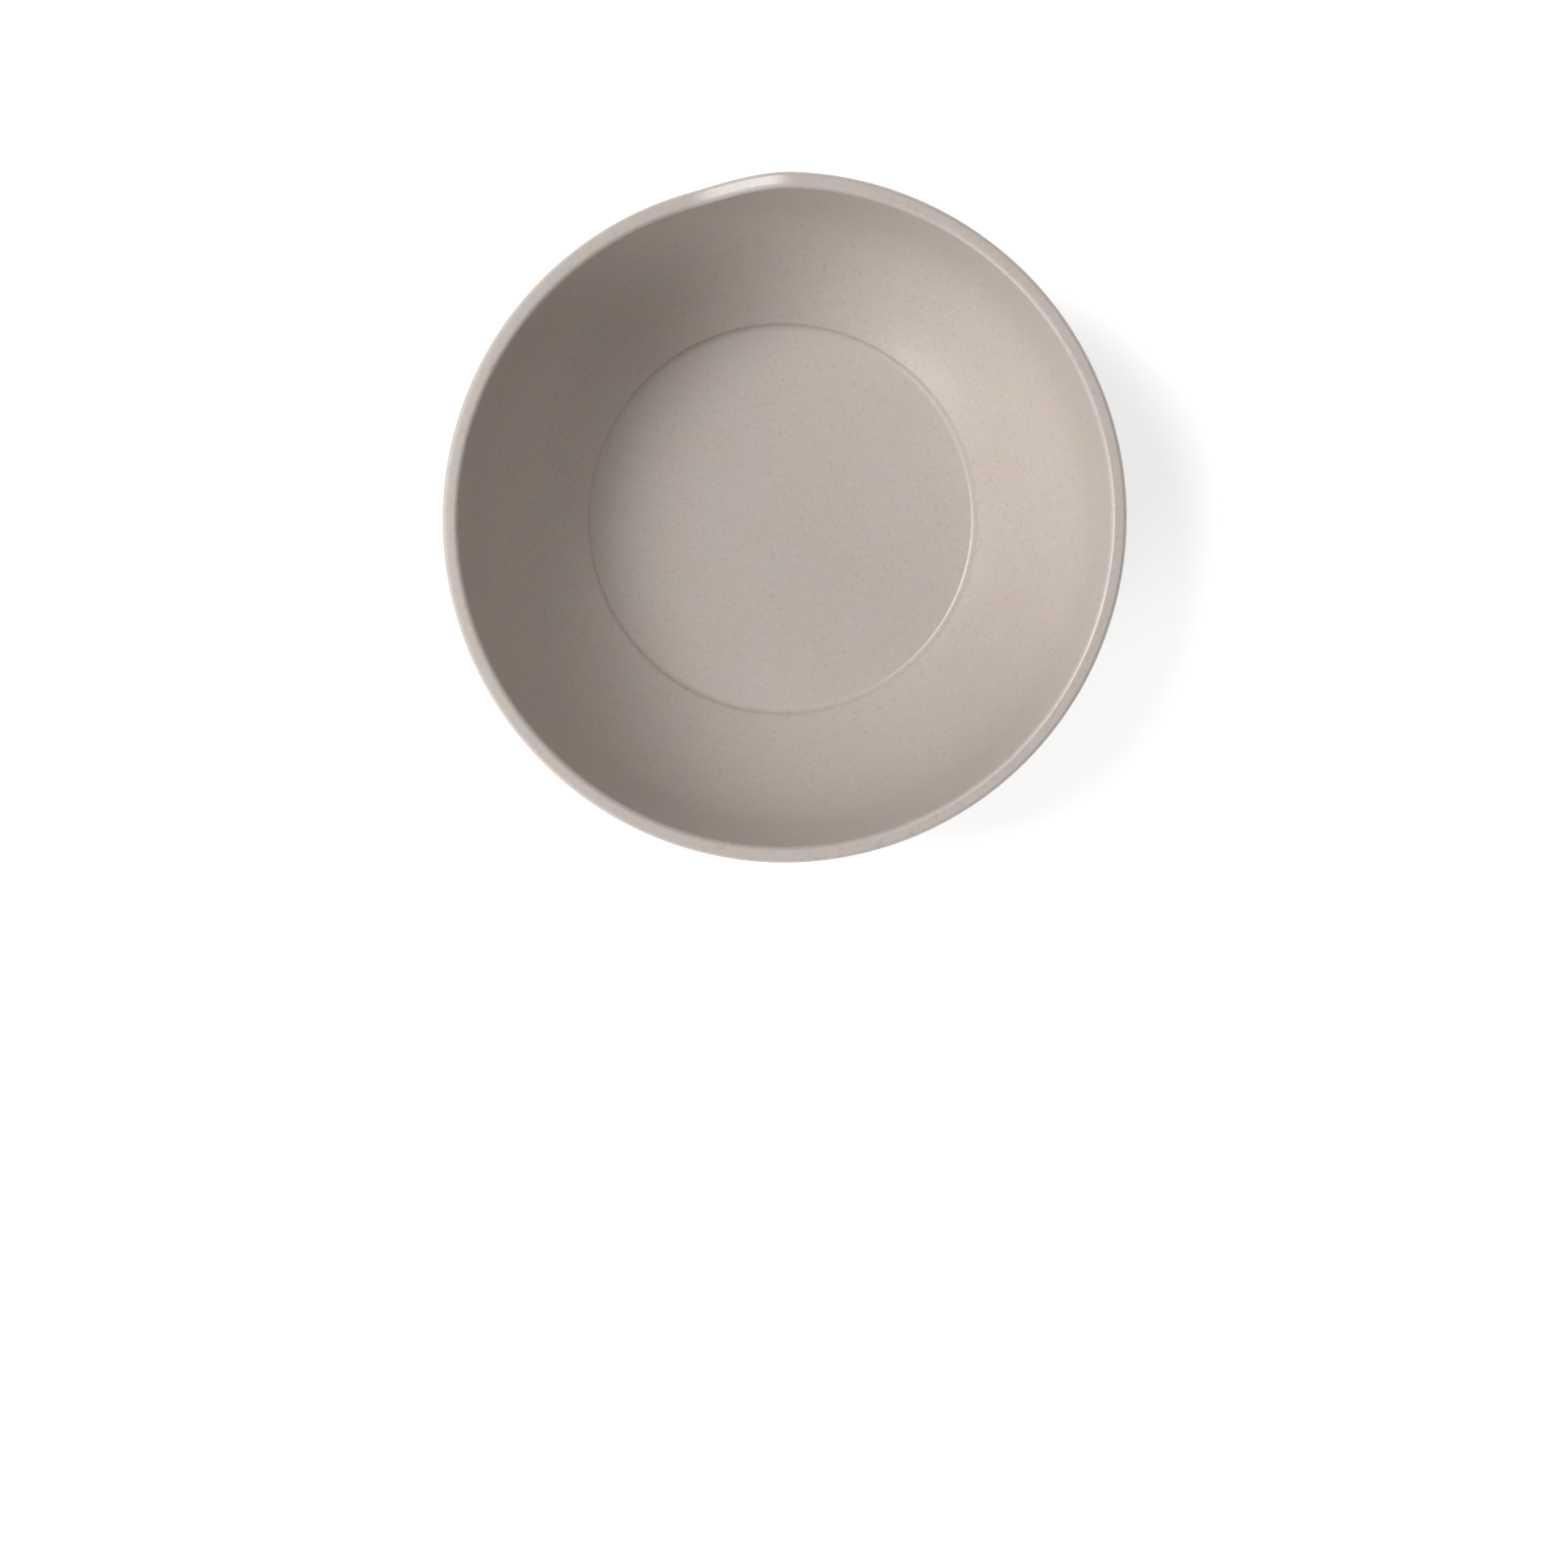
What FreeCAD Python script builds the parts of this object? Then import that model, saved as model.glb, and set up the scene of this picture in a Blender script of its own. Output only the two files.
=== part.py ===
import FreeCAD, Part
import math
import os
import Sketcher

# A one-piece moulded bowl with an eased, bevelled rim that steps down at the front.
# Millimetres, +Z up, origin at the centre of the foot ring's resting plane,
# the rim's step towards -Y. Angles run anticlockwise from +X, seen from above.

doc = FreeCAD.newDocument("stepped_rim_bowl")

DIMENSIONS = [
    ("rim_radius", 80.1),        # outside of the wall, at the height rim_level
    ("rim_level", 57.5),
    ("wall_lean", 9.7),          # degrees that the straight upper wall leans out
    ("wall", 4.0),               # thickness, square to the surface
    ("belly_radius", 59.5),      # outer arc from the straight wall to the foot
    ("foot_radius", 49.2),
    ("foot_height", 0.8),
    ("foot_width", 4.0),         # the flat ring that the bowl stands on
    ("base_recess", 0.7),        # how far the base is hollowed inside that ring
    ("well_radius", 48.3),       # the sunken flat floor inside the bowl
    ("well_draft", 1.0),         # how far the well's side leans out
    ("floor_height", 3.9),
    ("blank_height", 66.0),      # the wall before its rim is trimmed
    ("low_height", 51.65),       # the rim at the bottom of its step
    ("crest_height", 59.35),     # the rim's highest point, at the back
    ("lip_height", 57.55),       # the top of the step
    ("low_angle", 273.0),
    ("crest_turn", 182.0),       # from the low point round to the crest
    ("step_turn", 17.5),         # from the lip down to the low point
    ("rise_rate", 0.048),        # mm per degree, just past the low point
    ("step_bite", 0.3),          # the step's slope at the lip, over its mean slope
    ("land_drop", 0.1),          # how far the rim's land slopes down to its outer edge
    ("bevel_drop", 1.5),         # the outer bevel's reach down the wall
    ("bevel_width", 0.95),       # its reach in across the land
    ("ridge_round", 1.2),        # rounding of the land's inner edge
    ("edge_round", 0.5),         # rounding of the bevel's two edges
    ("well_round", 1.5),         # rounding at the foot of the well's side
    ("mouth_round", 0.4),        # rounding at its top
    ("foot_round", 0.35),        # rounding of the foot ring's two edges
]

sheet = doc.addObject("Spreadsheet::Sheet", "Dims")
for row, (alias, value) in enumerate(DIMENSIONS, start=1):
    sheet.set(f"A{row}", alias)
    sheet.set(f"B{row}", str(value))
    sheet.setAlias(f"B{row}", alias)
doc.recompute()


def dim(alias):
    return float(sheet.get(alias))


# ---- the blank: foot, belly, wall and well, turned in one piece ----

def half_section(body):
    """The bowl's half section, its wall left taller than the rim, and its line for the well's side."""
    sketch = body.newObject("Sketcher::SketchObject", "half_section")
    upright = [plane for plane in body.Origin.OriginFeatures if plane.Role == "XZ_Plane"][0]
    sketch.AttachmentSupport = (upright, "")
    sketch.MapMode = "FlatFace"

    def point(x, y):
        return FreeCAD.Vector(x, y, 0)

    def line(x1, y1, x2, y2):
        return Part.LineSegment(point(x1, y1), point(x2, y2))

    def arc(radius, start, end):
        circle = Part.Circle(point(19, 52), point(0, 0) + FreeCAD.Vector(0, 0, 1), radius)
        return Part.ArcOfCircle(circle, math.radians(start), math.radians(end))

    # Roughly placed; the constraints below bring each piece to its size.
    outline = [
        line(0, 1, 45, 1),
        line(45, 1, 45, 0),
        line(45, 0, 49, 0),
        line(49, 0, 49, 1),
        arc(59.5, -59, -10),
        line(77, 42, 81, 66),
        line(81, 66, 77, 66),
        line(77, 66, 74, 42),
        arc(55.8, -57, -10),
        line(49, 5, 48, 4),
        line(48, 4, 0, 4),
        line(0, 4, 0, 1),
    ]
    sketch.addGeometry(outline, False)
    base, ring_side, ring_face, foot_side, belly, outer_wall = range(6)
    top, inner_wall, inner_belly, well_side, well_floor, axis_side = range(6, 12)

    start, end, centre = 1, 2, 3
    origin, upright_axis = -1, -2
    rules = [
        ("Coincident", base, end, ring_side, start),
        ("Coincident", ring_side, end, ring_face, start),
        ("Coincident", ring_face, end, foot_side, start),
        ("Coincident", foot_side, end, belly, start),
        ("Tangent", belly, end, outer_wall, start),
        ("Coincident", outer_wall, end, top, start),
        ("Coincident", top, end, inner_wall, start),
        ("Tangent", inner_wall, end, inner_belly, end),
        ("Coincident", inner_belly, start, well_side, start),
        ("Coincident", well_side, end, well_floor, start),
        ("Coincident", well_floor, end, axis_side, start),
        ("Coincident", axis_side, end, base, start),
        ("Coincident", belly, centre, inner_belly, centre),
        ("Parallel", outer_wall, inner_wall),
        ("Horizontal", base),
        ("Vertical", ring_side),
        ("Horizontal", ring_face),
        ("Vertical", foot_side),
        ("Horizontal", top),
        ("Horizontal", well_floor),
        ("PointOnObject", axis_side, start, upright_axis),
        ("PointOnObject", axis_side, end, upright_axis),
        ("PointOnObject", ring_face, start, origin),
    ]
    for rule in rules:
        sketch.addConstraint(Sketcher.Constraint(*rule))

    from_origin = (origin, start)
    sizes = [
        ("foot_radius", "DistanceX", (*from_origin, foot_side, start), "Dims.foot_radius"),
        ("foot_height", "DistanceY", (*from_origin, foot_side, end), "Dims.foot_height"),
        ("foot_width", "DistanceX", (ring_face, start, ring_face, end), "Dims.foot_width"),
        ("recess", "DistanceY", (*from_origin, axis_side, end), "Dims.base_recess"),
        ("belly_radius", "Radius", (belly,), "Dims.belly_radius"),
        ("inner_belly_radius", "Radius", (inner_belly,), "Dims.belly_radius - Dims.wall"),
        ("blank_height", "DistanceY", (*from_origin, outer_wall, end), "Dims.blank_height"),
        ("blank_radius", "DistanceX", (*from_origin, outer_wall, end),
         "Dims.rim_radius + (Dims.blank_height - Dims.rim_level) * tan(Dims.wall_lean * 1deg)"),
        ("floor_height", "DistanceY", (*from_origin, axis_side, start), "Dims.floor_height"),
        ("well_radius", "DistanceX", (*from_origin, well_side, end), "Dims.well_radius"),
        ("well_mouth", "DistanceX", (*from_origin, well_side, start), "Dims.well_radius + Dims.well_draft"),
        ("lean", "Angle", (upright_axis, start, outer_wall, start), "-Dims.wall_lean * 1deg"),
    ]
    for name, kind, geometry, expression in sizes:
        value = sketch.evalExpression(expression)
        if kind == "Angle":
            value = math.radians(value.Value)
        index = sketch.addConstraint(Sketcher.Constraint(kind, *geometry, value))
        sketch.renameConstraint(index, name)
        sketch.setExpression(f"Constraints.{name}", expression)
    return sketch, well_side


def ring_edges(shape, radius, height):
    """Names of the full-circle edges at a radius and height."""
    names = []
    for index, edge in enumerate(shape.Edges, start=1):
        curve = edge.Curve
        if not isinstance(curve, Part.Circle):
            continue
        if abs(curve.Radius - radius) < 0.01 and abs(curve.Center.z - height) < 0.01:
            names.append(f"Edge{index}")
    return names


def rounded(body, base, name, rings, size):
    """Round the edges at these (radius, height) pairs."""
    fillet = body.newObject("PartDesign::Fillet", name)
    edges = [edge for radius, height in rings for edge in ring_edges(base.Shape, radius, height)]
    fillet.Base = (base, edges)
    fillet.setExpression("Radius", f"Dims.{size}")
    doc.recompute()
    return fillet


def turned_blank():
    body = doc.addObject("PartDesign::Body", "blank")
    sketch, well_side = half_section(body)
    turned = body.newObject("PartDesign::Revolution", "turned_wall")
    turned.Profile = sketch
    turned.ReferenceAxis = (sketch, ["V_Axis"])
    turned.Angle = 360
    doc.recompute()

    foot_edges = [(dim("foot_radius"), 0), (dim("foot_radius") - dim("foot_width"), 0)]
    foot = rounded(body, turned, "foot_rounding", foot_edges, "foot_round")

    side = sketch.Geometry[well_side]
    mouth, corner = side.StartPoint, side.EndPoint
    well = rounded(body, foot, "well_rounding", [(corner.x, corner.y)], "well_round")
    rounded(body, well, "mouth_rounding", [(mouth.x, mouth.y)], "mouth_round")
    return body


# ---- the rim: its land follows a ridge line that rises and steps ----

def eased(share, start, end, start_slope, end_slope):
    """Cubic from start to end, with its two end slopes given per whole span."""
    square = share * share
    cube = square * share
    ease = 3 * square - 2 * cube
    leaving = cube - 2 * square + share
    arriving = cube - square
    return start + (end - start) * ease + start_slope * leaving + end_slope * arriving


def ridge_height(turn):
    """Height of the land's inner edge, turn degrees anticlockwise from the low point."""
    low, crest, lip = dim("low_height"), dim("crest_height"), dim("lip_height")
    crest_turn, step_turn = dim("crest_turn"), dim("step_turn")
    lip_turn = 360 - step_turn
    rate = dim("rise_rate")
    if turn < crest_turn:
        return eased(turn / crest_turn, low, crest, rate * crest_turn, 0)
    if turn < lip_turn:
        return eased((turn - crest_turn) / (lip_turn - crest_turn), crest, lip, 0, 0)
    plunge = dim("step_bite") * (low - lip)
    return eased((turn - lip_turn) / step_turn, lip, low, plunge, rate * step_turn)


def trim_line(name, radius, height_at):
    """Closed curve at one radius, on a trimming surface carried on past the wall."""
    poles_round = 180
    lean = math.radians(dim("wall_lean"))
    wall_across = dim("wall") / math.cos(lean)
    poles = []
    for step in range(poles_round):
        turn = 360 * step / poles_round
        ridge = ridge_height(turn)
        outer_radius = dim("rim_radius") + (ridge - dim("rim_level")) * math.tan(lean)
        angle = math.radians(dim("low_angle") + turn)
        height = ridge + height_at(radius - outer_radius + wall_across, wall_across)
        poles.append(FreeCAD.Vector(radius * math.cos(angle), radius * math.sin(angle), height))
    curve = Part.BSplineCurve()
    curve.buildFromPoles(poles, True, 3)
    line = doc.addObject("Part::Feature", name)
    line.Shape = curve.toShape()
    return line


def trimmed_above(base, name, clear, height_at):
    """The base with all above a surface cut away; it runs clear past the rim to both sides."""
    surface = doc.addObject("Part::RuledSurface", name)
    surface.Curve1 = (trim_line(f"inner_{name}_line", dim("rim_radius") - clear, height_at), [""])
    surface.Curve2 = (trim_line(f"outer_{name}_line", dim("rim_radius") + clear, height_at), [""])
    offcut = doc.addObject("Part::Extrusion", f"{name}_offcut")
    offcut.Base = surface
    offcut.DirMode = "Custom"
    offcut.Dir = FreeCAD.Vector(0, 0, 1)
    offcut.setExpression("LengthFwd", "Dims.blank_height")
    trimmed = doc.addObject("Part::Cut", f"{name}_cut")
    trimmed.Base = base
    trimmed.Tool = offcut
    doc.recompute()
    return trimmed


def flat_land(out, wall_across):
    """Height of the nearly level land over its inner edge, at a distance out from that edge."""
    return -dim("land_drop") * out / wall_across


def outer_bevel(out, wall_across):
    """Height of the outer bevel over the land's inner edge, at a distance out from that edge."""
    foot = wall_across - dim("bevel_drop") * math.tan(math.radians(dim("wall_lean")))
    run = foot - (wall_across - dim("bevel_width"))
    return -dim("land_drop") - dim("bevel_drop") - (out - foot) * dim("bevel_drop") / run


def rounded_rim(trimmed):
    """The finished bowl: the land's inner edge and the bevel's two edges rounded over."""
    lowest = dim("low_height") - dim("wall")
    edges = []
    for index, edge in enumerate(trimmed.Shape.Edges, start=1):
        box = edge.BoundBox
        if box.ZMin < lowest or edge.Length < dim("rim_radius"):
            continue
        place = edge.valueAt((edge.FirstParameter + edge.LastParameter) / 2)
        inner = math.hypot(place.x, place.y) < dim("rim_radius") - dim("wall") / 2
        size = dim("ridge_round") if inner else dim("edge_round")
        edges.append((index, size, size))
    bowl = doc.addObject("Part::Fillet", "bowl")
    bowl.Base = trimmed
    bowl.Edges = edges
    bowl.Label = "bowl"
    bowl.Placement = FreeCAD.Placement()
    doc.recompute()
    return bowl


blank = turned_blank()
land_clear, bevel_clear = 12, 4
levelled = trimmed_above(blank, "land", land_clear, flat_land)
bevelled = trimmed_above(levelled, "bevel", bevel_clear, outer_bevel)
bowl = rounded_rim(bevelled)

for item in doc.Objects:
    if "Invalid" in item.State or "Error" in item.State:
        raise RuntimeError(f"{item.Label} failed: {item.State}")

os.makedirs("parts", exist_ok=True)
for piece in [bowl]:
    if piece.Shape.isNull() or not piece.Shape.isValid():
        raise RuntimeError(f"{piece.Label} has no valid shape")
    piece.Shape.exportStep(f"parts/{piece.Label}.step")
    box = piece.Shape.optimalBoundingBox()
    size = f"{box.XLength:.2f} x {box.YLength:.2f} x {box.ZLength:.2f} mm"
    print(f"{piece.Label}: {size}, {piece.Shape.Volume / 1000:.1f} cm3, {len(piece.Shape.Solids)} solid")
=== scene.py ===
import math

import bmesh
import bpy
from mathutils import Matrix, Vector


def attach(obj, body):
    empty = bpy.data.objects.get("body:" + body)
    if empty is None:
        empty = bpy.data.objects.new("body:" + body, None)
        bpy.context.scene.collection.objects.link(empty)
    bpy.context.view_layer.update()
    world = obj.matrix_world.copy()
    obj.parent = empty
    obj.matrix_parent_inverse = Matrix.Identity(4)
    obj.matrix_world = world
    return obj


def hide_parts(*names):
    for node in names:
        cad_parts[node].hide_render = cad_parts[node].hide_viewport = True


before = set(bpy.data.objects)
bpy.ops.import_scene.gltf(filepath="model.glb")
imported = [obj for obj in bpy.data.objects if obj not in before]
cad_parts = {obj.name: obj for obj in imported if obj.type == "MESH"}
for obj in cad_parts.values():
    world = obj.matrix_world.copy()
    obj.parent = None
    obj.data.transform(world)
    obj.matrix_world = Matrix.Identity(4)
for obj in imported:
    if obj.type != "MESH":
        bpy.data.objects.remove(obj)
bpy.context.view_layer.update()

scene = bpy.context.scene
scene.view_settings.view_transform = "Standard"

# ---------------------------------------------------------------------------
# The bowl: one thick-walled piece, pressed from melamine in a two-part die.
# It stands on a low ring under its base. The wall leans out a little to an
# eased, bevelled rim, which climbs half round, sinks a little and then drops in
# one short step.
# ---------------------------------------------------------------------------
mm = 0.001

rim_radius = 80.1 * mm          # outside of the wall at the height rim_level
rim_level = 57.5 * mm
wall_lean = math.radians(9.7)
wall = 4.0 * mm                 # square to the surface
belly_radius = 59.5 * mm
foot_radius = 49.2 * mm
foot_height = 0.8 * mm
foot_width = 4.0 * mm
base_recess = 0.7 * mm
foot_round = 0.35 * mm
well_radius = 48.3 * mm
well_mouth_radius = 49.3 * mm
floor_height = 3.9 * mm
well_round = 1.5 * mm
mouth_round = 0.4 * mm
low_height = 51.65 * mm         # the rim just past its step
crest_height = 59.35 * mm
lip_height = 57.55 * mm         # the top of the step
low_angle = 273                 # degrees round the bowl, anticlockwise from +X
crest_turn = 182                # degrees on from the low point
step_turn = 17.5
rise_rate = 0.048 * mm          # climb for each degree, just past the low point
step_bite = 0.3                 # the step's slope at the lip, over its mean slope
land_drop = 0.1 * mm            # the rim's land slopes down outwards
bevel_drop = 1.5 * mm           # the outer bevel's reach down the wall
bevel_width = 0.95 * mm         # its reach in across the land
ridge_round = 1.2 * mm
edge_round = 0.5 * mm
steps_round = 360
same_place = 0.001 * mm         # points closer than this are one
on_the_ring = 0.01 * mm         # how close to a ring its own points lie

wall_across = wall / math.cos(wall_lean)
up_the_wall = Vector((math.sin(wall_lean), 0, math.cos(wall_lean)))
out_of_wall = Vector((math.cos(wall_lean), 0, -math.sin(wall_lean)))


def eased(share, start, end, start_slope, end_slope):
    """Cubic from start to end, with its two end slopes given per whole span."""
    square = share * share
    cube = square * share
    ease = 3 * square - 2 * cube
    leaving = cube - 2 * square + share
    arriving = cube - square
    return start + (end - start) * ease + start_slope * leaving + end_slope * arriving


def ridge_height(turn):
    """Height of the rim's inner edge, turn degrees anticlockwise from its low point."""
    lip_turn = 360 - step_turn
    if turn < crest_turn:
        return eased(turn / crest_turn, low_height, crest_height, rise_rate * crest_turn, 0)
    if turn < lip_turn:
        return eased((turn - crest_turn) / (lip_turn - crest_turn), crest_height, lip_height, 0, 0)
    plunge = step_bite * (low_height - lip_height)
    return eased((turn - lip_turn) / step_turn, lip_height, low_height, plunge, rise_rate * step_turn)


# The half section is drawn from the middle of the base, round the outside and
# over the rim at its crest, and down the inside to the middle of the well.
bowl_mesh = bmesh.new()


def straight_to(tip, radius, height, pieces=1):
    """Carry the half section on in a straight line, in equal pieces."""
    start, end = tip.co.copy(), Vector((radius, 0, height))
    for piece in range(1, pieces + 1):
        tip = bmesh.ops.extrude_vert_indiv(bowl_mesh, verts=[tip])["verts"][0]
        tip.co = start.lerp(end, piece / pieces)
    return tip


def arc_round(tip, centre, angle, pieces):
    """Carry the half section on in an arc about a centre."""
    arc = bmesh.ops.spin(bowl_mesh, geom=[tip], cent=centre, axis=(0, -1, 0), angle=angle, steps=pieces)
    return [end for end in arc["geom_last"] if isinstance(end, bmesh.types.BMVert)][0]


# Both belly arcs share a centre: the outer one meets the wall smoothly and
# ends on the foot's upper edge.
foot_top = Vector((foot_radius, 0, foot_height))
rim_point = Vector((rim_radius, 0, rim_level))
reach = rim_point - belly_radius * out_of_wall - foot_top
along = reach.dot(up_the_wall)
slide = math.sqrt(along ** 2 - reach.length_squared + belly_radius ** 2) - along
belly_centre = foot_top + reach + slide * up_the_wall
foot_spoke = foot_top - belly_centre
mouth_spoke_angle = math.acos((well_mouth_radius - belly_centre.x) / (belly_radius - wall))
belly_turn = math.atan2(-foot_spoke.z, foot_spoke.x) - wall_lean

land_slope = land_drop / wall_across
land_width = wall_across / (1 + land_slope * math.tan(wall_lean))
crest_lean = (crest_height - rim_level) * math.tan(wall_lean)
ridge_radius = rim_radius - wall_across + crest_lean
land_end = Vector((ridge_radius + land_width, 0, crest_height - land_slope * land_width))
bevel_top = land_end + bevel_width * Vector((-1, 0, land_slope))
bevel_foot = land_end - bevel_drop / math.cos(wall_lean) * up_the_wall

tip = bowl_mesh.verts.new((0, 0, base_recess))
tip = straight_to(tip, foot_radius - foot_width, base_recess, pieces=6)
tip = straight_to(tip, foot_radius - foot_width, 0)
tip = straight_to(tip, foot_radius, 0)
tip = straight_to(tip, foot_radius, foot_height)
tip = arc_round(tip, belly_centre, belly_turn, pieces=30)
tip = straight_to(tip, bevel_foot.x, bevel_foot.z, pieces=8)
tip = straight_to(tip, bevel_top.x, bevel_top.z)
tip = straight_to(tip, ridge_radius, crest_height)
inner_knee = belly_centre + (belly_radius - wall) * out_of_wall
tip = straight_to(tip, inner_knee.x, inner_knee.z, pieces=8)
tip = arc_round(tip, belly_centre, wall_lean - mouth_spoke_angle, pieces=28)
tip = straight_to(tip, well_radius, floor_height)
tip = straight_to(tip, 0, floor_height, pieces=6)

bmesh.ops.spin(bowl_mesh, geom=bowl_mesh.verts[:] + bowl_mesh.edges[:], cent=(0, 0, 0), axis=(0, 0, 1),
               angle=2 * math.pi, steps=steps_round, use_merge=True)
bmesh.ops.remove_doubles(bowl_mesh, verts=bowl_mesh.verts[:], dist=same_place)
bmesh.ops.recalc_face_normals(bowl_mesh, faces=bowl_mesh.faces[:])


def ring_of_edges(radius, height):
    """The edges that go round the bowl at a radius and height."""
    def on_ring(vert):
        off_radius = abs(math.hypot(vert.co.x, vert.co.y) - radius)
        return max(off_radius, abs(vert.co.z - height)) < on_the_ring
    return [edge for edge in bowl_mesh.edges if all(on_ring(vert) for vert in edge.verts)]


def round_over(edges, rounding, pieces):
    """Round a ring of edges to a radius."""
    offset = rounding * math.tan(edges[0].calc_face_angle() / 2)
    bmesh.ops.bevel(bowl_mesh, geom=edges, offset=offset, offset_type="OFFSET", affect="EDGES",
                    segments=pieces, profile=0.5, material=-1)


mouth_height = belly_centre.z - (belly_radius - wall) * math.sin(mouth_spoke_angle)
round_over(ring_of_edges(foot_radius, 0), foot_round, pieces=4)
round_over(ring_of_edges(foot_radius - foot_width, 0), foot_round, pieces=4)
round_over(ring_of_edges(well_mouth_radius, mouth_height), mouth_round, pieces=4)
round_over(ring_of_edges(well_radius, floor_height), well_round, pieces=12)
ridge = ring_of_edges(ridge_radius, crest_height)
bevel_edges = [ring_of_edges(corner.x, corner.z) for corner in (bevel_top, bevel_foot)]

# The straight wall is let down along its own slope, and the rim with its top.
for vert in bowl_mesh.verts:
    share = (vert.co.z - inner_knee.z) / (bevel_foot.z - inner_knee.z)
    if share <= 0:
        continue
    angle = math.atan2(vert.co.y, vert.co.x)
    turn = (math.degrees(angle) - low_angle) % 360
    drop = min(share, 1) * (crest_height - ridge_height(turn))
    inwards = drop * math.tan(wall_lean)
    vert.co -= Vector((inwards * math.cos(angle), inwards * math.sin(angle), drop))
round_over(ridge, ridge_round, pieces=16)
for edges in bevel_edges:
    round_over(edges, edge_round, pieces=8)

for face in bowl_mesh.faces:
    face.smooth = True
bowl_data = bpy.data.meshes.new("bowl_body")
bowl_mesh.to_mesh(bowl_data)
bowl_mesh.free()
bowl = bpy.data.objects.new("bowl_body", bowl_data)
scene.collection.objects.link(bowl)
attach(bowl, "root")
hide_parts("bowl")


def linear(code):
    """Linear colour from an sRGB hex code."""
    shares = [int(code[place:place + 2], 16) / 255 for place in (1, 3, 5)]
    return [share / 12.92 if share < 0.04045 else ((share + 0.055) / 1.055) ** 2.4
            for share in shares] + [1]


def add(material, kind, inputs, **settings):
    """Add a node with its settings; an input is a value or an earlier node's output."""
    node = material.node_tree.nodes.new(kind)
    for name, value in settings.items():
        setattr(node, name, value)
    for socket, value in inputs.items():
        if isinstance(value, bpy.types.NodeSocket):
            material.node_tree.links.new(value, node.inputs[socket])
        else:
            node.inputs[socket].default_value = value
    return node


# Matt moulded melamine, filled with fine mineral powder: a warm grey-beige with
# faint pink and cool clouds, darker and paler grains about a millimetre across,
# and a few stray buff specks. The die's satin face leaves a soft gloss and a
# barely felt grain.
melamine = bpy.data.materials.new("matt_moulded_melamine")
melamine.use_nodes = True
melamine.node_tree.nodes.clear()

cloud_size = 7 * mm
haze_size = 12 * mm
grain_size = 1.3 * mm
fleck_size = 1.0 * mm
speck_spacing = 10 * mm
speck_radius = 0.5 * mm
grain_relief = 0.003 * mm
fleck_slice = 4.0                   # keeps the flecks off the pattern of the grains
bare_share = 0.7                    # of the speck cells hold no speck
grey_beige, faint_pink, cool_grey = linear("#BFB6AB"), linear("#C1B4AE"), linear("#BDB5B1")
dark_grain, pale_fleck, buff_speck = linear("#A89D95"), linear("#CFC6BE"), linear("#CBAA85")
first_colour, second_colour, mixed = 6, 7, 2        # a Mix node's colour sockets

place = add(melamine, "ShaderNodeTexCoord", {}).outputs["Object"]
clouds = add(melamine, "ShaderNodeTexNoise", {"Vector": place, "Scale": 1 / cloud_size, "Detail": 2})
pinkness = add(melamine, "ShaderNodeMapRange", {
    "Value": clouds.outputs[0], "From Min": 0.3, "From Max": 0.7})
body = add(melamine, "ShaderNodeMix", {
    0: pinkness.outputs[0], first_colour: grey_beige, second_colour: faint_pink}, data_type="RGBA")
haze = add(melamine, "ShaderNodeTexNoise", {"Vector": place, "Scale": 1 / haze_size, "Detail": 3})
coolness = add(melamine, "ShaderNodeMapRange", {
    "Value": haze.outputs[0], "From Min": 0.45, "From Max": 0.7, "To Max": 0.6})
hazed = add(melamine, "ShaderNodeMix", {
    0: coolness.outputs[0], first_colour: body.outputs[mixed], second_colour: cool_grey},
    data_type="RGBA")
grain = add(melamine, "ShaderNodeTexNoise", {"Vector": place, "Scale": 1 / grain_size, "Detail": 1})
darkness = add(melamine, "ShaderNodeMapRange", {
    "Value": grain.outputs[0], "From Min": 0.56, "From Max": 0.74, "To Max": 0.36})
grained = add(melamine, "ShaderNodeMix", {
    0: darkness.outputs[0], first_colour: hazed.outputs[mixed], second_colour: dark_grain},
    data_type="RGBA")
flecks = add(melamine, "ShaderNodeTexNoise", {
    "Vector": place, "W": fleck_slice, "Scale": 1 / fleck_size, "Detail": 0}, noise_dimensions="4D")
paleness = add(melamine, "ShaderNodeMapRange", {
    "Value": flecks.outputs[0], "From Min": 0.6, "From Max": 0.8, "To Max": 0.32})
flecked = add(melamine, "ShaderNodeMix", {
    0: paleness.outputs[0], first_colour: grained.outputs[mixed], second_colour: pale_fleck},
    data_type="RGBA")
specks = add(melamine, "ShaderNodeTexVoronoi", {"Vector": place, "Scale": 1 / speck_spacing})
spot = add(melamine, "ShaderNodeMapRange", {
    "Value": specks.outputs["Distance"], "From Min": 0.6 * speck_radius / speck_spacing,
    "From Max": speck_radius / speck_spacing, "To Min": 0.7, "To Max": 0})
chosen = add(melamine, "ShaderNodeSeparateColor", {"Color": specks.outputs["Color"]})
rare = add(melamine, "ShaderNodeMath", {0: chosen.outputs[0], 1: bare_share}, operation="GREATER_THAN")
speckle = add(melamine, "ShaderNodeMath", {0: spot.outputs[0], 1: rare.outputs[0]}, operation="MULTIPLY")
coloured = add(melamine, "ShaderNodeMix", {
    0: speckle.outputs[0], first_colour: flecked.outputs[mixed], second_colour: buff_speck},
    data_type="RGBA")
satin = add(melamine, "ShaderNodeMapRange", {
    "Value": haze.outputs[0], "From Min": 0.3, "From Max": 0.7, "To Min": 0.34, "To Max": 0.42})
relief = add(melamine, "ShaderNodeBump", {
    "Height": grain.outputs[0], "Strength": 1, "Distance": grain_relief})
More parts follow.
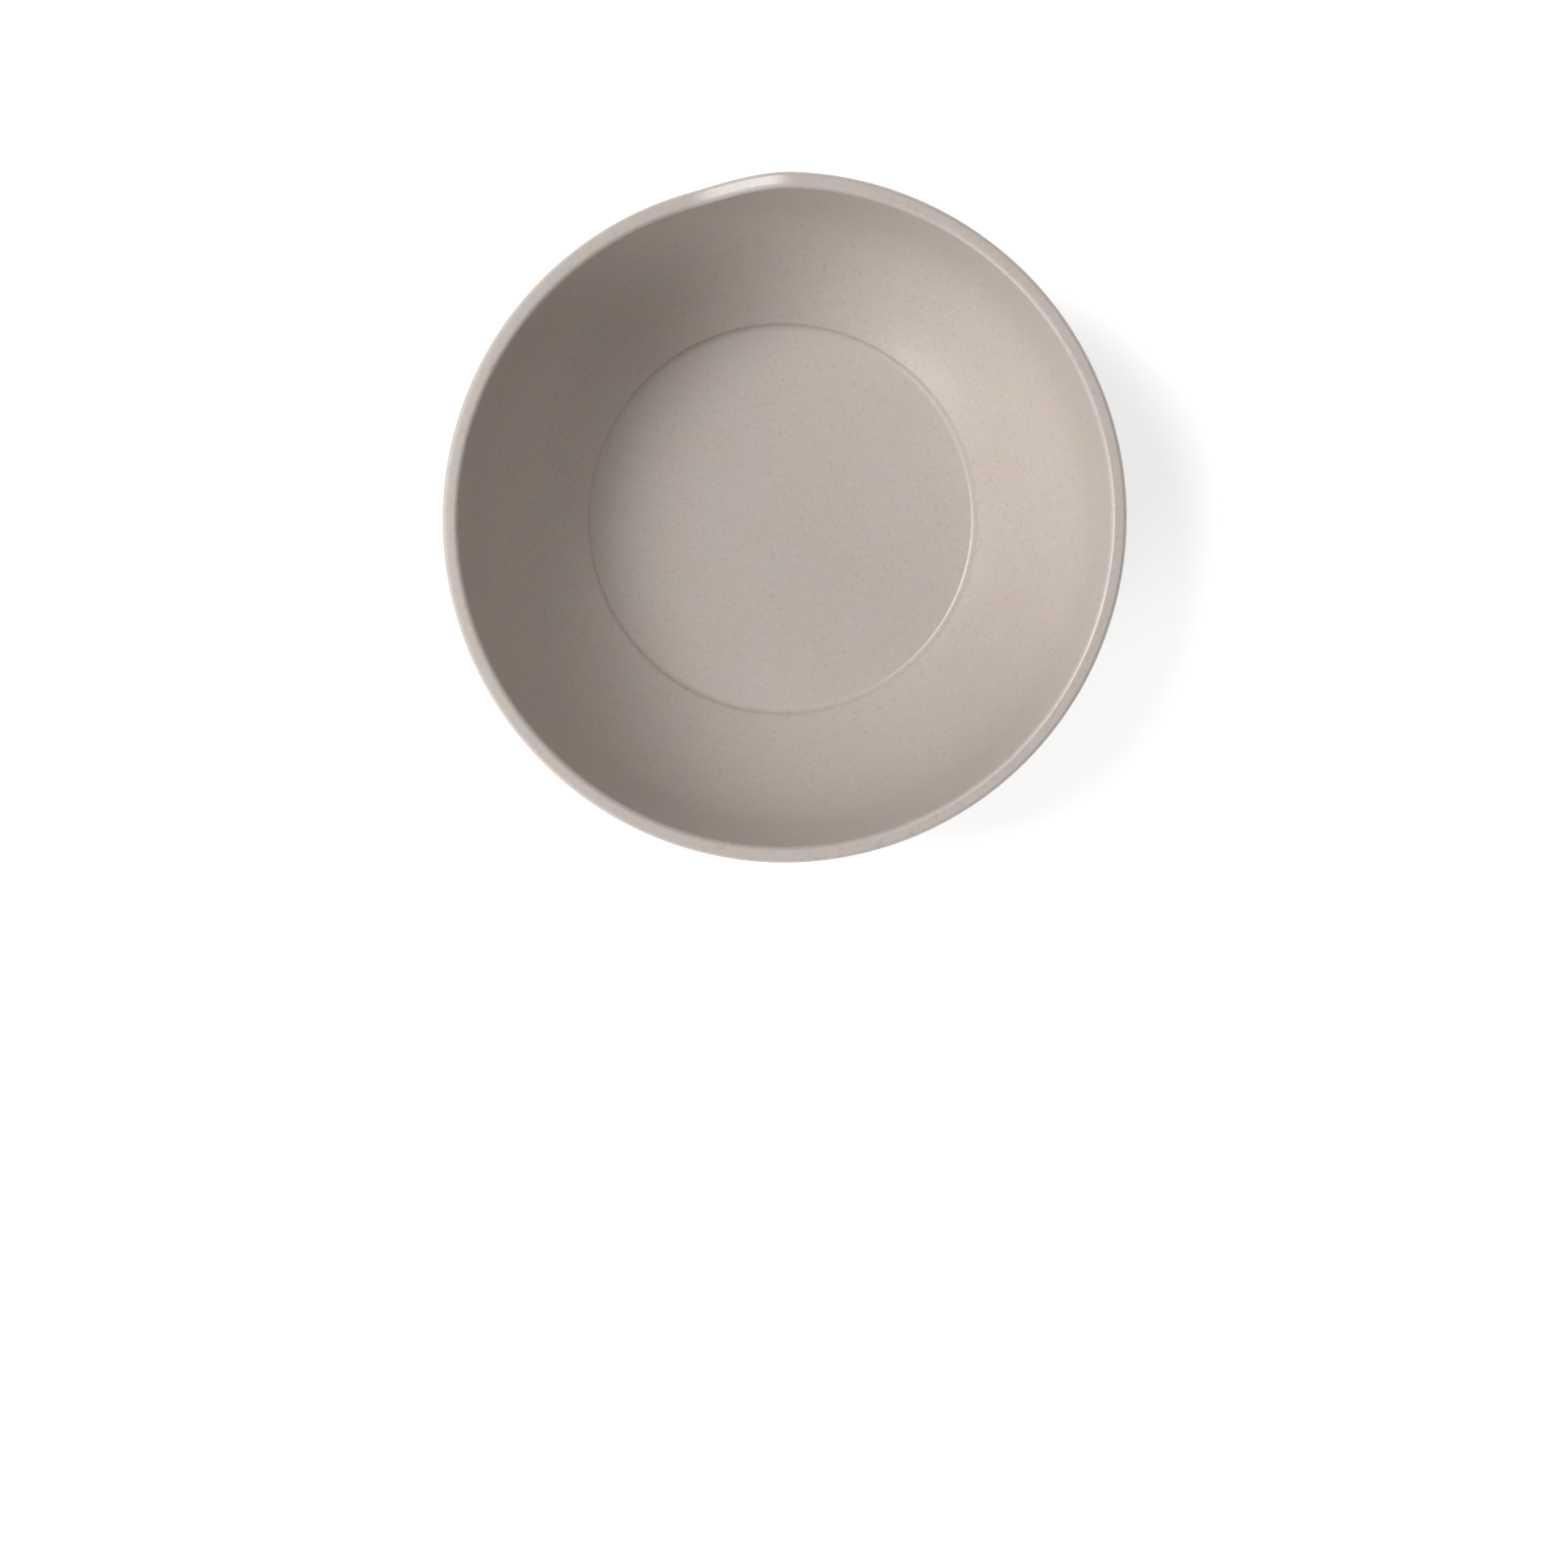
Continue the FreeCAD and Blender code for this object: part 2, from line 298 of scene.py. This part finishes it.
surface = add(melamine, "ShaderNodeBsdfPrincipled", {
    "Base Color": coloured.outputs[mixed], "Roughness": satin.outputs[0], "Normal": relief.outputs[0],
    "IOR": 1.62})
add(melamine, "ShaderNodeOutputMaterial", {"Surface": surface.outputs["BSDF"]})
bowl_data.materials.append(melamine)

# ---------------------------------------------------------------------------
# Stage: a plain pale sheet under the bowl, which shows as white and keeps the
# bowl's soft shadow.
# ---------------------------------------------------------------------------
sheet_radius = 3.0
sheet_glow = 0.62               # what lifts the seen sheet to white
sheet_mesh = bmesh.new()
bmesh.ops.create_circle(sheet_mesh, cap_ends=True, segments=64, radius=sheet_radius)
sheet_data = bpy.data.meshes.new("sheet")
sheet_mesh.to_mesh(sheet_data)
sheet_mesh.free()
sheet = bpy.data.objects.new("sheet", sheet_data)
scene.collection.objects.link(sheet)

paper = bpy.data.materials.new("pale_paper")
paper.use_nodes = True
paper.node_tree.nodes.clear()
rays = add(paper, "ShaderNodeLightPath", {})
seen_or_mirrored = add(paper, "ShaderNodeMath", {
    0: rays.outputs["Is Camera Ray"], 1: rays.outputs["Is Glossy Ray"]}, operation="ADD")
seen = add(paper, "ShaderNodeMath", {
    0: seen_or_mirrored.outputs[0], 1: rays.outputs["Is Transmission Ray"]}, operation="ADD")
glow = add(paper, "ShaderNodeMath", {0: seen.outputs[0], 1: sheet_glow}, operation="MULTIPLY")
paper_surface = add(paper, "ShaderNodeBsdfPrincipled", {
    "Base Color": linear("#E6E6E6"), "Roughness": 0.9, "Specular IOR Level": 0.2,
    "Emission Color": (1, 1, 1, 1), "Emission Strength": glow.outputs[0]})
add(paper, "ShaderNodeOutputMaterial", {"Surface": paper_surface.outputs["BSDF"]})
sheet_data.materials.append(paper)

# ---------------------------------------------------------------------------
# Light: a tall soft key made of two wide suns, a low side light and a faint
# fill, in a dim room.
# ---------------------------------------------------------------------------
lamps = [
    # name, angle round the bowl, height, width of the source (degrees), level
    ("key_high", 327, 56, 24, 0.49),
    ("key_low", 333, 48, 24, 0.25),
    ("side", 32, 24, 24, 0.345),
    ("fill", 197, 40, 24, 0.06),
]
for name, round_bowl, height, width, level in lamps:
    lamp_data = bpy.data.lights.new(name, "SUN")
    lamp_data.energy = level * math.pi
    lamp_data.angle = math.radians(width)
    lamp = bpy.data.objects.new(name, lamp_data)
    lamp.rotation_euler = (0, math.radians(90 - height), math.radians(round_bowl))
    scene.collection.objects.link(lamp)

room_light, seen_as_white = 0.215, 1.0
room = bpy.data.worlds.new("room")
room.use_nodes = True
room.node_tree.nodes.clear()
scene.world = room
seen_by = add(room, "ShaderNodeLightPath", {})
strength = add(room, "ShaderNodeMapRange", {
    "Value": seen_by.outputs["Is Camera Ray"], "To Min": room_light, "To Max": seen_as_white})
backdrop = add(room, "ShaderNodeBackground", {"Color": (1, 1, 1, 1), "Strength": strength.outputs[0]})
add(room, "ShaderNodeOutputWorld", {"Surface": backdrop.outputs[0]})

# ---------------------------------------------------------------------------
# Camera: straight above the bowl, with the bowl in the upper part of the frame.
# ---------------------------------------------------------------------------
camera_height = 0.6574
tilt, roll, heading = math.radians(-5.85), math.radians(-0.03), math.radians(166.8)
camera_data = bpy.data.cameras.new("camera")
camera_data.lens = 59
camera_data.sensor_width = 36
camera = bpy.data.objects.new("camera", camera_data)
camera.location = (0, 0, camera_height)
camera.rotation_euler = (tilt, roll, heading)
scene.collection.objects.link(camera)
scene.camera = camera
